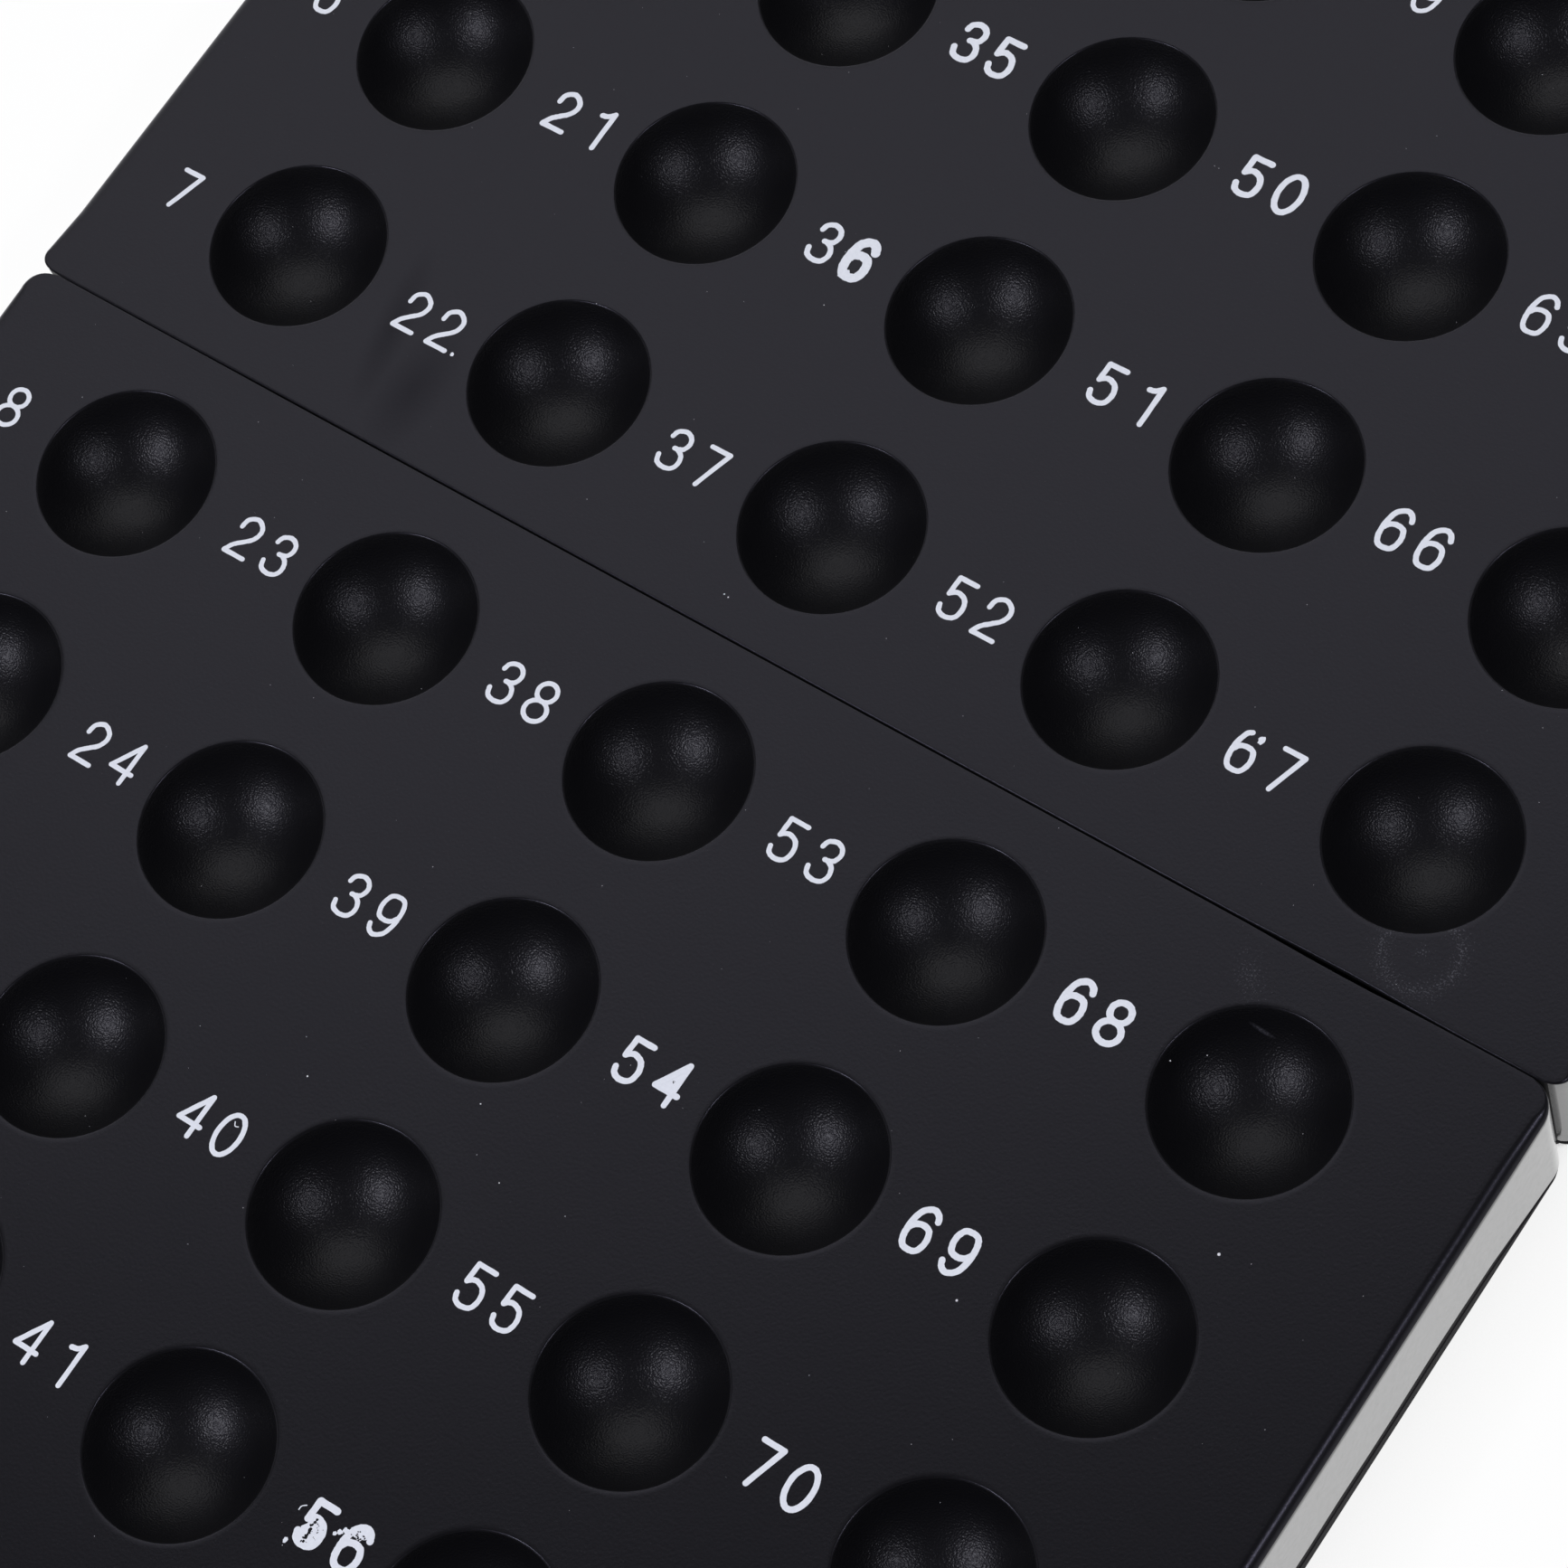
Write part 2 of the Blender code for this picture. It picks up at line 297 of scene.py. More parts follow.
# Marks on the plastic, as soft ovals: their middle, their turn about Z and their three reaches.
RING_SCUFF = ((82.6 * MM, 5.9 * MM, FACE), 0.0, (6.4 * MM, 6.4 * MM, 6.4 * MM))
PATCH_SCUFF = ((68.6 * MM, -5.0 * MM, FACE), math.radians(130), (6.0 * MM, 3.0 * MM, 6.0 * MM))
STREAK = ((-59.5 * MM, 13.6 * MM, FACE), math.radians(101.6), (11.5 * MM, 2.4 * MM, 11.5 * MM))
SMEAR = ((-52.5 * MM, 8.1 * MM, FACE), math.radians(91), (9.0 * MM, 4.2 * MM, 9.0 * MM))
CUP_SCRATCH = (
    (72.1 * MM, -8.8 * MM, FACE - 2.6 * MM), math.radians(4), (1.7 * MM, 0.22 * MM, 2.5 * MM)
)

# The camera, placed and rolled to the photograph's view. Its lens and sensor are in millimetres.
CAMERA_PLACE = Vector((229.04 * MM, -149.46 * MM, BOARD_HEIGHT + 497.6 * MM))
CAMERA_AIM = Vector((13.01 * MM, -11.31 * MM, BOARD_HEIGHT))
CAMERA_ROLL = math.radians(-25.262)
CAMERA_LENS = 119.54
CAMERA_SENSOR = 36.0

# How near a cover has to be to darken the table, how far the table lies below the feet, and how
# far it reaches.
COVER_REACH = 50.0 * MM
TABLE_DROP = 0.01 * MM
TABLE_REACH = 20000 * MM

# The lamps, as degrees round and above the board's middle, metres away, metres wide and high,
# radiance and colour. The two small ones give each cup its two highlights. The three wide ones lie
# beyond the far left of the board: the face mirrors the upper two as its grey, and the cups' near
# walls mirror all three.
LAMPS = {
    "right_lamp": (4, 48, 1.4, 0.13, 0.13, 120.0, "#f3f3ff"),
    "front_lamp": (-115, 43, 1.4, 0.16, 0.16, 124.0, "#f3f3ff"),
    "far_high": (130, 60, 1.8, 1.6, 0.7, 2.5, "#ffffff"),
    "far_mid": (134, 36, 1.8, 2.0, 0.5, 1.9, "#ffffff"),
    "far_low": (132, 17, 1.8, 2.4, 0.5, 1.5, "#ffffff"),
}

# The sines of the heights between which the mirrored horizon fades, and the fill light's level.
HORIZON_LOW = 0.05
HORIZON_HIGH = 0.14
FILL = 0.06


def smooth(share):
    """A share, kept from 0 to 1 and eased at both ends."""
    share = min(max(share, 0), 1)
    return share * share * (3 - 2 * share)


def column_x(column):
    """The X of a column of cups, counted from the left."""
    return (column - (COLUMNS - 1) / 2) * COLUMN_PITCH


def gap_at(x):
    """The seam gap's width at x, eased from one listed place to the next."""
    for (x0, gap0), (x1, gap1) in zip(SEAM_GAPS, SEAM_GAPS[1:]):
        if x <= x1:
            return gap0 + (gap1 - gap0) * smooth((x - x0) / (x1 - x0))
    return SEAM_GAPS[-1][1]


class PlanPoint:
    """A point on the plan of a half: its place, its outward direction and its top edge's radius."""

    def __init__(self, x, v, nx, nv):
        self.x = x
        self.v = v
        self.nx = nx
        self.nv = nv
        share = smooth(v / EDGE_GROWTH)
        self.edge = SEAM_EDGE_RADIUS + (SIDE_EDGE_RADIUS - SEAM_EDGE_RADIUS) * share
        self.on_seam = nv < -0.999

    def inset(self, depth):
        """The place that lies depth inside the plan here."""
        return self.x - self.nx * depth, self.v - self.nv * depth


def key_centres():
    """The X of the middle of each key, taken from the frame."""
    centres = []
    for number in range(1, COLUMNS):
        low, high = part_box(f"seam_key_{number}")
        centres.append((low.x + high.x) / 2)
    return centres


def spaced(start, end, step):
    """Places from start to end, end left out, about step apart."""
    count = max(round(abs(end - start) / step), 1)
    return [start + (end - start) * index / count for index in range(count)]


def seam_places(corner):
    """Places along the seam between its corners, with one on each side of every key's window."""
    reach = BOARD_WIDTH / 2 - corner
    stops = [-reach]
    for x in key_centres():
        stops += [x - KEY_HALF_WIDTH - KEY_FIT, x + KEY_HALF_WIDTH + KEY_FIT]
    stops.append(reach)
    places = []
    for start, end in zip(stops, stops[1:]):
        places += spaced(start, end, SEAM_STEP)
    return places


def plan_arc(x, v, radius, start):
    """The plan points of a quarter round about (x, v), from the angle start on."""
    points = []
    for step in range(CORNER_STEPS):
        angle = start + math.pi / 2 * step / CORNER_STEPS
        nx, nv = math.cos(angle), math.sin(angle)
        points.append(PlanPoint(x + radius * nx, v + radius * nv, nx, nv))
    return points


def half_plan(near):
    """The plan of a half, from its left seam corner along the seam and on round.

    The corners at the seam have the radius near.
    """
    edge = BOARD_WIDTH / 2
    far = END_CORNER_RADIUS
    points = [PlanPoint(x, 0, 0, -1) for x in seam_places(near)]
    points += plan_arc(edge - near, near, near, -math.pi / 2)
    points += [PlanPoint(edge, v, 1, 0) for v in spaced(near, HALF_LENGTH - far, SIDE_STEP)]
    points += plan_arc(edge - far, HALF_LENGTH - far, far, 0)
    points += [PlanPoint(x, HALF_LENGTH, 0, 1) for x in spaced(edge - far, far - edge, SIDE_STEP)]
    points += plan_arc(far - edge, HALF_LENGTH - far, far, math.pi / 2)
    points += [PlanPoint(-edge, v, -1, 0) for v in spaced(HALF_LENGTH - far, near, SIDE_STEP)]
    points += plan_arc(near - edge, near, near, math.pi)
    for point in points:
        if point.on_seam:
            point.v = (gap_at(point.x) - SEAM_GAP) / 2
    return points


def rebate_height(point, chance):
    """How high the foot's rebate reaches on the wall at a plan point, a little unevenly."""
    share = smooth(point.v / REBATE_REACH)
    height = REBATE_LOW + (REBATE_HIGH - REBATE_LOW) * share
    return height * (1 + REBATE_UNEVENNESS * chance.uniform(-1, 1))


class Half:
    """One moulded half, built ring by ring in a bmesh."""

    def __init__(self, side, rows):
        self.side = side
        self.rows = rows
        self.bm = bmesh.new()
        self.plan = half_plan(UPPER_SEAM_CORNER if side > 0 else LOWER_SEAM_CORNER)
        self.chance = random.Random(REBATE_SEED + side)

    def place(self, x, v, z):
        """A vertex at x along the seam, v from its face and the height z."""
        return self.bm.verts.new((x, self.side * (SEAM_GAP / 2 + v), z))

    def ring(self, insets, heights):
        """A ring of vertices round the plan, drawn in and raised by what each point has."""
        verts = []
        for point, inset, height in zip(self.plan, insets, heights):
            verts.append(self.place(*point.inset(inset), height))
        return verts

    def even_ring(self, inset, height):
        """A ring that is drawn in by the same inset at every point and lies flat."""
        count = len(self.plan)
        return self.ring([inset] * count, [height] * count)

    def band(self, first, second, finish, open_at=None):
        """A band of faces between two rings, left open where open_at says so."""
        count = len(first)
        for index in range(count):
            following = (index + 1) % count
            if open_at and open_at(index, following):
                continue
            corners = (first[index], first[following], second[following], second[index])
            self.bm.faces.new(corners).material_index = finish

    def side_band(self, first, second, finish, open_at=None):
        """A band of the outer skin, in the given finish but dull where it faces the other half."""
        self.band(first, second, finish, open_at)
        for vert, point in zip(first, self.plan):
            if point.on_seam:
                for face in vert.link_faces:
                    if face.material_index == POLISHED:
                        face.material_index = UNDERSIDE

    def fill(self, loops, finish):
        """A flat face inside the first loop of vertices, with the other loops as its holes."""
        edges = []
        for loop in loops:
            for start, end in zip(loop, loop[1:] + loop[:1]):
                edges.append(self.bm.edges.get((start, end)) or self.bm.edges.new((start, end)))
        filled = bmesh.ops.triangle_fill(self.bm, edges=edges, use_beauty=True)["geom"]
        for item in filled:
            if isinstance(item, bmesh.types.BMFace):
                item.material_index = finish

    def circle(self, x, v, radius, height, segments):
        """A flat circle of vertices about (x, v)."""
        verts = []
        for step in range(segments):
            angle = math.tau * step / segments
            dx, dv = radius * math.cos(angle), radius * math.sin(angle)
            verts.append(self.place(x + dx, v + dv, height))
        return verts

    def cup_centres(self):
        """The places of the half's cups as x and v."""
        for row in range(self.rows):
            for column in range(COLUMNS):
                yield column_x(column), SEAM_MARGIN + row * ROW_PITCH

    def bowl(self, x, v, profile, segments, finish, lip_bands=0):
        """Bands turned about (x, v) along a profile of (radius, height), closed by its last height.

        The first lip_bands bands are satin like the face, and the others have the given finish.
        """
        loops = [self.circle(x, v, radius, height, segments) for radius, height in profile[:-1]]
        for index, (first, second) in enumerate(zip(loops, loops[1:])):
            self.band(first, second, SATIN if index < lip_bands else finish)
        pole = self.place(x, v, profile[-1][1])
        last = loops[-1]
        for index in range(segments):
            corners = (last[index], last[(index + 1) % segments], pole)
            self.bm.faces.new(corners).material_index = finish
        return loops[0]

    def in_window(self, index, following):
        """Whether the wall between two plan points is a key's window."""
        first, second = self.plan[index], self.plan[following]
        if not (first.on_seam and second.on_seam):
            return False
        middle = (first.x + second.x) / 2
        return any(abs(middle - x) < KEY_HALF_WIDTH + KEY_FIT for x in key_centres())

    def jambs(self, outer_sill, outer_top, inner_sill, inner_top, finish):
        """The four sides of each window through the seam wall."""
        count = len(self.plan)
        for index in range(count):
            following = (index + 1) % count
            before = (index - 1) % count
            if self.in_window(index, following):
                for outer, inner in ((outer_sill, inner_sill), (outer_top, inner_top)):
                    corners = (outer[index], outer[following], inner[following], inner[index])
                    self.bm.faces.new(corners).material_index = finish
            if self.in_window(index, following) != self.in_window(before, index):
                corners = (outer_sill[index], inner_sill[index], inner_top[index], outer_top[index])
                self.bm.faces.new(corners).material_index = finish


def cup_profile():
    """A cup from the flat land round its rim, over the rounded rim and down the ball's sphere."""
    centre = FACE - CUP_DEPTH + CUP_RADIUS
    rise = centre - (FACE - RIM_ROUND)
    reach = math.sqrt((CUP_RADIUS + RIM_ROUND) ** 2 - rise ** 2)
    lean = math.atan2(rise, reach)
    profile = [(reach + RIM_LAND, FACE)]
    for band in range(RIM_BANDS + 1):
        angle = math.pi / 2 + (math.pi / 2 - lean) * band / RIM_BANDS
        radius = reach + RIM_ROUND * math.cos(angle)
        profile.append((radius, FACE - RIM_ROUND + RIM_ROUND * math.sin(angle)))
    for band in range(CUP_BANDS - 1, -1, -1):
        angle = (math.pi / 2 - lean) * band / CUP_BANDS
        profile.append((CUP_RADIUS * math.sin(angle), centre - CUP_RADIUS * math.cos(angle)))
    return profile


def dome_profile():
    """The underside of a cup, a skin's thickness outside it."""
    radius = CUP_RADIUS + SKIN
    centre = FACE - CUP_DEPTH + CUP_RADIUS
    widest = math.acos((centre - ROOF) / radius)
    profile = []
    for band in range(DOME_BANDS, -1, -1):
        angle = widest * band / DOME_BANDS
        profile.append((radius * math.sin(angle), centre - radius * math.cos(angle)))
    return profile


def outer_rings(half):
    """The outer skin of a half, from the top face's border down to the foot."""
    plan = half.plan
    edges = [point.edge for point in plan]
    land = half.ring([edge + EDGE_LAND for edge in edges], [FACE] * len(plan))
    above = land
    for step in range(EDGE_STEPS + 1):
        angle = math.pi / 2 * step / EDGE_STEPS
        insets = [edge * (1 - math.sin(angle)) for edge in edges]
        heights = [FACE - edge * (1 - math.cos(angle)) for edge in edges]
        below = half.ring(insets, heights)
        half.side_band(above, below, SATIN if angle <= GLOSS_START else POLISHED)
        above = below
    window_tops = [min(WINDOW_TOP, FACE - edge - EDGE_LAND) for edge in edges]
    window = half.ring([0] * len(plan), window_tops)
    half.side_band(above, window, POLISHED)
    leans = [(SEAM_FOOT_GAP - gap_at(point.x)) / 2 if point.on_seam else 0 for point in plan]
    sill = half.ring(leans, [SILL] * len(plan))
    half.side_band(window, sill, POLISHED, half.in_window)
    tops = [rebate_height(point, half.chance) for point in plan]
    # The rebate's levels take the dull dark finish that paints the contact shadow at the foot.
    # Each level: its share of the rebate's height, the lift above that, its depth and its finish.
    levels = [
        (1.0, REBATE_STEP, 0, POLISHED),
        (1.0, 0, REBATE_DEPTH, FOOT_SHADE),
        (0.5, REBATE_STEP, REBATE_DEPTH, FOOT_SHADE),
        (0.5, 0, REBATE_DEPTH - RIDGE_HEIGHT, FOOT_SHADE),
        (0.5, -REBATE_STEP, REBATE_DEPTH, FOOT_SHADE),
        (0.0, 0, REBATE_DEPTH, FOOT_SHADE),
    ]
    above = sill
    for share, lift, depth, finish in levels:
        insets = [lean if point.on_seam else depth for point, lean in zip(plan, leans)]
        below = half.ring(insets, [top * share + lift for top in tops])
        half.side_band(above, below, finish)
        above = below
    return land, window, sill, above


def socket_ribs(half, x):
    """The U of ribs round one key's socket, hung from the roof."""
    inner = KEY_HALF_WIDTH + KEY_FIT
    outer = inner + RIB
    start = SKIN - RIB_ROOT
    floor = KEY_REACH + KEY_FIT
    plan = [
        (x - outer, start), (x - outer, floor + RIB), (x + outer, floor + RIB), (x + outer, start),
        (x + inner, start), (x + inner, floor), (x - inner, floor), (x - inner, start),
    ]
    low = [half.place(px, pv, SILL) for px, pv in plan]
    high = [half.place(px, pv, ROOF + RIB_ROOT) for px, pv in plan]
    half.band(low, high, UNDERSIDE)
    half.bm.faces.new(low).material_index = UNDERSIDE
    half.bm.faces.new(high).material_index = UNDERSIDE


def moulded_half(name, side, rows, finishes, body):
    """One half as a whole piece, which stands for the CAD node of its name."""
    half = Half(side, rows)
    land, outer_top, outer_sill, foot = outer_rings(half)
    rims = [
        half.bowl(x, v, cup_profile(), CUP_SEGMENTS, GRAINED, RIM_BANDS + 1)
        for x, v in half.cup_centres()
    ]
    half.fill([land] + rims, SATIN)
    inner_foot = half.even_ring(SKIN, 0)
    inner_sill = half.even_ring(SKIN, SILL)
    inner_top = half.even_ring(SKIN, WINDOW_TOP)
    inner_roof = half.even_ring(SKIN, ROOF)
    half.band(foot, inner_foot, UNDERSIDE)
    half.band(inner_foot, inner_sill, UNDERSIDE)
    half.band(inner_sill, inner_top, UNDERSIDE, half.in_window)
    half.band(inner_top, inner_roof, UNDERSIDE)
    domes = [
        half.bowl(x, v, dome_profile(), DOME_SEGMENTS, UNDERSIDE) for x, v in half.cup_centres()
    ]
    half.fill([inner_roof] + domes, UNDERSIDE)
    half.jambs(outer_sill, outer_top, inner_sill, inner_top, UNDERSIDE)
    for x in key_centres():
        socket_ribs(half, x)
    piece = finished(name, half.bm, finishes)
    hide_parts(name.removesuffix("_moulding"))
    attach(piece, body)


def finished(name, bm, finishes):
    """A smooth object from a bmesh, its faces turned outwards, with its materials."""
    bmesh.ops.recalc_face_normals(bm, faces=bm.faces[:])
    mesh = bpy.data.meshes.new(name)
    bm.to_mesh(mesh)
    bm.free()
    mesh.shade_smooth()
    mesh.set_sharp_from_angle(angle=SHARP_ANGLE)
    piece = bpy.data.objects.new(name, mesh)
    bpy.context.scene.collection.objects.link(piece)
    for finish in finishes:
        mesh.materials.append(finish)
    return piece


def curve_points(controls):
    """Points on a smooth curve through the controls, by the Catmull-Rom formula."""
    ends = [controls[0]] + controls + [controls[-1]]
    points = []
    for before, start, end, after in zip(ends, ends[1:], ends[2:], ends[3:]):
        for step in range(CURVE_STEPS):
            t = step / CURVE_STEPS
            point = (
                start * 2 + (end - before) * t + (before * 2 - start * 5 + end * 4 - after) * t ** 2
                + (start * 3 - before - end * 3 + after) * t ** 3
            ) / 2
            points.append(point)
    points.append(controls[-1])
    return points


def loop_points(centre, radii):
    """Points round an oval."""
    points = []
    for step in range(LOOP_STEPS):
        angle = math.tau * step / LOOP_STEPS
        points.append(centre + Vector((radii.x * math.cos(angle), radii.y * math.sin(angle))))
    return points


def stroke_path(kind, shares):
    """The centre line of a pen stroke, from its shares, and whether it closes on itself."""
    points = [at_shares(share) for share in shares]
    if kind == "loop":
        return loop_points(points[0], points[1]), True
    if kind == "curve":
        return curve_points(points), False
    start, end = points
    return [start.lerp(end, step / LINE_STEPS) for step in range(LINE_STEPS + 1)], False


def stroke_borders(path, closed, width, chance):
    """The left and right borders of a stroke as pairs, uneven as pad printing leaves them."""
    pairs = []
    count = len(path)
    for index, point in enumerate(path):
        before = path[(index - 1) % count] if closed or index else point
        after = path[(index + 1) % count] if closed or index < count - 1 else point
        along = (after - before).normalized()
        across = Vector((-along.y, along.x)) * width / 2
        left = point + across * (1 + BORDER_UNEVENNESS * chance.uniform(-1, 1))
        right = point - across * (1 + BORDER_UNEVENNESS * chance.uniform(-1, 1))
        pairs.append((left, right))
    if closed:
        return pairs
    head = [(left, right) for right, left in reversed(round_end(path[1], path[0], width))]
    return head + pairs + round_end(path[-2], path[-1], width)


def round_end(before, last, width):
    """The pairs of border points that round off a stroke beyond its last point."""
    along = (last - before).normalized()
    across = Vector((-along.y, along.x))
    pairs = []
    for step in range(1, END_STEPS + 1):
        angle = math.pi / 2 * step / (END_STEPS + ROUND_END_REST)
        middle = last + along * math.sin(angle) * width / 2
        reach = across * math.cos(angle) * width / 2
        pairs.append((middle + reach, middle - reach))
    return pairs


def ink_prism(bm, outline, origin, level, finish=INK):
    """A thin raised island of ink over an outline of points."""
    low = [bm.verts.new((origin.x + p.x, origin.y + p.y, FACE - INK_THICKNESS)) for p in outline]
    high = [bm.verts.new((origin.x + p.x, origin.y + p.y, level)) for p in outline]
    count = len(outline)
    for index in range(count):
        following = (index + 1) % count
        corners = (low[index], low[following], high[following], high[index])
        bm.faces.new(corners).material_index = finish
    bm.faces.new(low).material_index = finish
    bm.faces.new(high).material_index = finish


def ink_ribbon(bm, pairs, closed, origin, level):
    """A raised ribbon of ink between pairs of border points.

    It sinks a hair along its length, so that a stroke that crosses itself has no faces that
    coincide.
    """
    rings = []
    for index, (left, right) in enumerate(pairs):
        top = level - STROKE_SINK * index / len(pairs)
        low = FACE - INK_THICKNESS
        corners = ((left, low), (left, top), (right, top), (right, low))
        places = [(origin.x + p.x, origin.y + p.y, height) for p, height in corners]
        rings.append([bm.verts.new(place) for place in places])
    following = rings[1:] + rings[:1] if closed else rings[1:]
    for first, second in zip(rings, following):
        for side in range(4):
            other = (side + 1) % 4
            bm.faces.new((first[side], first[other], second[other], second[side]))
    if not closed:
        bm.faces.new(rings[0])
        bm.faces.new(rings[-1])


def ragged_island(middle, radii, chance, steps=BLOT_STEPS):
    """The outline of an uneven round spot."""
    points = []
    for step in range(steps):
        angle = math.tau * step / steps
        reach = 1 + SPOT_UNEVENNESS * chance.uniform(-1, 1)
        spot = Vector((radii.x * math.cos(angle), radii.y * math.sin(angle)))
        points.append(middle + spot * reach)
    return points


def at_shares(shares):
    """Shares of a digit's width and height as a place in metres."""
    return Vector((shares[0] * DIGIT_WIDTH, shares[1] * DIGIT_HEIGHT))


def ink_faults(bm, key, origin, chance):
    """The blots, hairs and voids of one digit. The voids lie over the ink and show bare plastic."""
    level = FACE + BLOT_RISE
    for digit, middle, radii in BLOTS:
        if digit == key:
            outline = ragged_island(at_shares(middle), at_shares(radii), chance)
            ink_prism(bm, outline, origin, level)
            level -= BLOT_STEP
    for digit, shares in HAIRS:
        if digit == key:
            path = curve_points([at_shares(share) for share in shares])
            ink_ribbon(bm, stroke_borders(path, False, HAIR_STROKE, chance), False, origin, level)
            level -= BLOT_STEP
    level = FACE + VOID_RISE
    for digit, middle, spread, count, size in VOIDS:
        if digit == key:
            for index in range(count):
                spot = Vector((chance.gauss(0, VOID_SCATTER), chance.gauss(0, VOID_SCATTER)))
                centre = at_shares(middle) + at_shares(spread) * spot
                shares = Vector((chance.uniform(VOID_LEAST, 1), chance.uniform(VOID_LEAST, 1)))
                outline = ragged_island(centre, shares * size, chance, VOID_STEPS)
                ink_prism(bm, outline, origin, level, BARE)
                level += BLOT_STEP / count


def ink_digit(bm, digit, origin, width, chance):
    """The strokes of one digit. Each lies a hair lower than the one before, so none coincide."""
    level = FACE + STROKE_RISE
    for kind, shares in STROKE_SHARES[digit]:
        path, closed = stroke_path(kind, shares)
        ink_ribbon(bm, stroke_borders(path, closed, width, chance), closed, origin, level)
        level -= STROKE_STEP


def cup_row_y(row):
    """The Y of a row of cups, counted from the board's far end."""
    if row < UPPER_ROWS:
        return SEAM_GAP / 2 + SEAM_MARGIN + (UPPER_ROWS - 1 - row) * ROW_PITCH
    return -SEAM_GAP / 2 - SEAM_MARGIN - (row - UPPER_ROWS) * ROW_PITCH


def label_origin(number):
    """The lower left corner of a number's first digit."""
    column, row = divmod(number - 1, ROWS)
    x = column_x(column) + LABEL_STARTS[column] + LABEL_NUDGES.get(number, 0)
    low = cup_row_y(row) + LABEL_RISES[row] - DIGIT_HEIGHT / 2
    return Vector((x, low))


def printed_numbers(name, upper, finishes, body):
    """The white numbers of one half, each left of its cup."""
    bm = bmesh.new()
    chance = random.Random(PRINT_SEED)
    for number in range(1, CUPS + 1):
        row = (number - 1) % ROWS
        if (row < UPPER_ROWS) != upper:
            continue
        width = HEAVY_STROKES.get(number, STROKE * (1 + STROKE_SPREAD * chance.uniform(-1, 1)))
        origin = label_origin(number)
        for place, digit in enumerate(f"{number:2d}"):
            if digit != " ":
                key = (number, place)
                spot = origin + Vector((place * DIGIT_PITCH, 0))
                form = BROKEN_DIGITS.get(key, digit)
                ink_digit(bm, form, spot, HEAVY_DIGITS.get(key, width), chance)
                ink_faults(bm, key, spot, chance)
    piece = finished(name, bm, finishes)
    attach(piece, body)


def surface_height(x, y):
    """The height of the board's top at x and y, which is lower inside a cup."""
    for number in range(CUPS):
        column, row = divmod(number, ROWS)
        away = Vector((x, y)) - Vector((column_x(column), cup_row_y(row)))
        drop = CUP_RADIUS ** 2 - away.length_squared
        if drop > (CUP_RADIUS - CUP_DEPTH) ** 2:
            return FACE - CUP_DEPTH + CUP_RADIUS - math.sqrt(drop)
    return FACE


def specks():
    """Specks of fine dust all over the board, clear of its borders."""
    chance = random.Random(SPECK_SEED)
    grains = []
    for _ in range(SPECKS):
        x = chance.uniform(-1, 1) * (BOARD_WIDTH / 2 - END_CORNER_RADIUS)
        y = chance.uniform(-1, 1) * (HALF_LENGTH - END_CORNER_RADIUS)
        grains.append((x, y, chance.uniform(*SPECK_RADIUS)))
    return grains


def dust_grains(name, upper, finish, body):
    """Pale grains of dust on one half, squat on the face and round in the cups."""
    bm = bmesh.new()
    for x, y, radius in DUST + specks():
        if (y > 0) == upper and abs(y) > SEAM_EDGE_RADIUS + SEAM_GAP:
            height = surface_height(x, y)
            flatness = min(INK_THICKNESS / radius, 1) if height == FACE else 1
            place = Matrix.Translation((x, y, height)) @ Matrix.Diagonal((1, 1, flatness, 1))
            bmesh.ops.create_icosphere(bm, subdivisions=2, radius=radius, matrix=place)
    piece = finished(name, bm, [finish])
    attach(piece, body)


def linear(colour):
    """An sRGB hex colour as linear red, green, blue and alpha."""
    channels = []
    for start in (1, 3, 5):
        value = int(colour[start:start + 2], 16) / 255
        channels.append(value / 12.92 if value <= 0.04045 else ((value + 0.055) / 1.055) ** 2.4)
    return (*channels, 1.0)


def add_node(tree, kind, settings=None, **sockets):
    """Adds a node, sets its own settings, and gives each named socket a value or a link.

    A socket's name has underscores for its spaces, or is an underscore and its number.
    """
    node = tree.nodes.new(kind)
    for key, value in (settings or {}).items():
        setattr(node, key, value)
    for key, value in sockets.items():
        socket = node.inputs[int(key[1:])] if key[0] == "_" else node.inputs[key.replace("_", " ")]
        if isinstance(value, bpy.types.NodeSocket):
            tree.links.new(value, socket)
        else:
            socket.default_value = value
    return node


def new_material(name):
    """An empty material, with its node tree."""
    material = bpy.data.materials.new(name)
    material.use_nodes = True
    material.node_tree.nodes.clear()
    return material, material.node_tree


def surface(tree, shader):
    """Makes the shader the material's surface."""
    add_node(tree, "ShaderNodeOutputMaterial", Surface=shader)


def local_mask(tree, place, middle, turn, reach):
    """A soft oval that is 1 in its middle and 0 from its reach on, turned about Z."""
    local = add_node(
        tree, "ShaderNodeMapping", {"vector_type": "TEXTURE"}, Vector=place, Location=middle,
        Rotation=(0, 0, turn), Scale=reach,
    )
    return add_node(
        tree, "ShaderNodeTexGradient", {"gradient_type": "SPHERICAL"}, Vector=local.outputs[0]
    ).outputs["Fac"]


def highest(tree, *values):
    """The highest of some values, of which the first is a socket."""
    result = values[0]
    for value in values[1:]:
        result = add_node(
            tree, "ShaderNodeMath", {"operation": "MAXIMUM"}, _0=result, _1=value
        ).outputs[0]
    return result


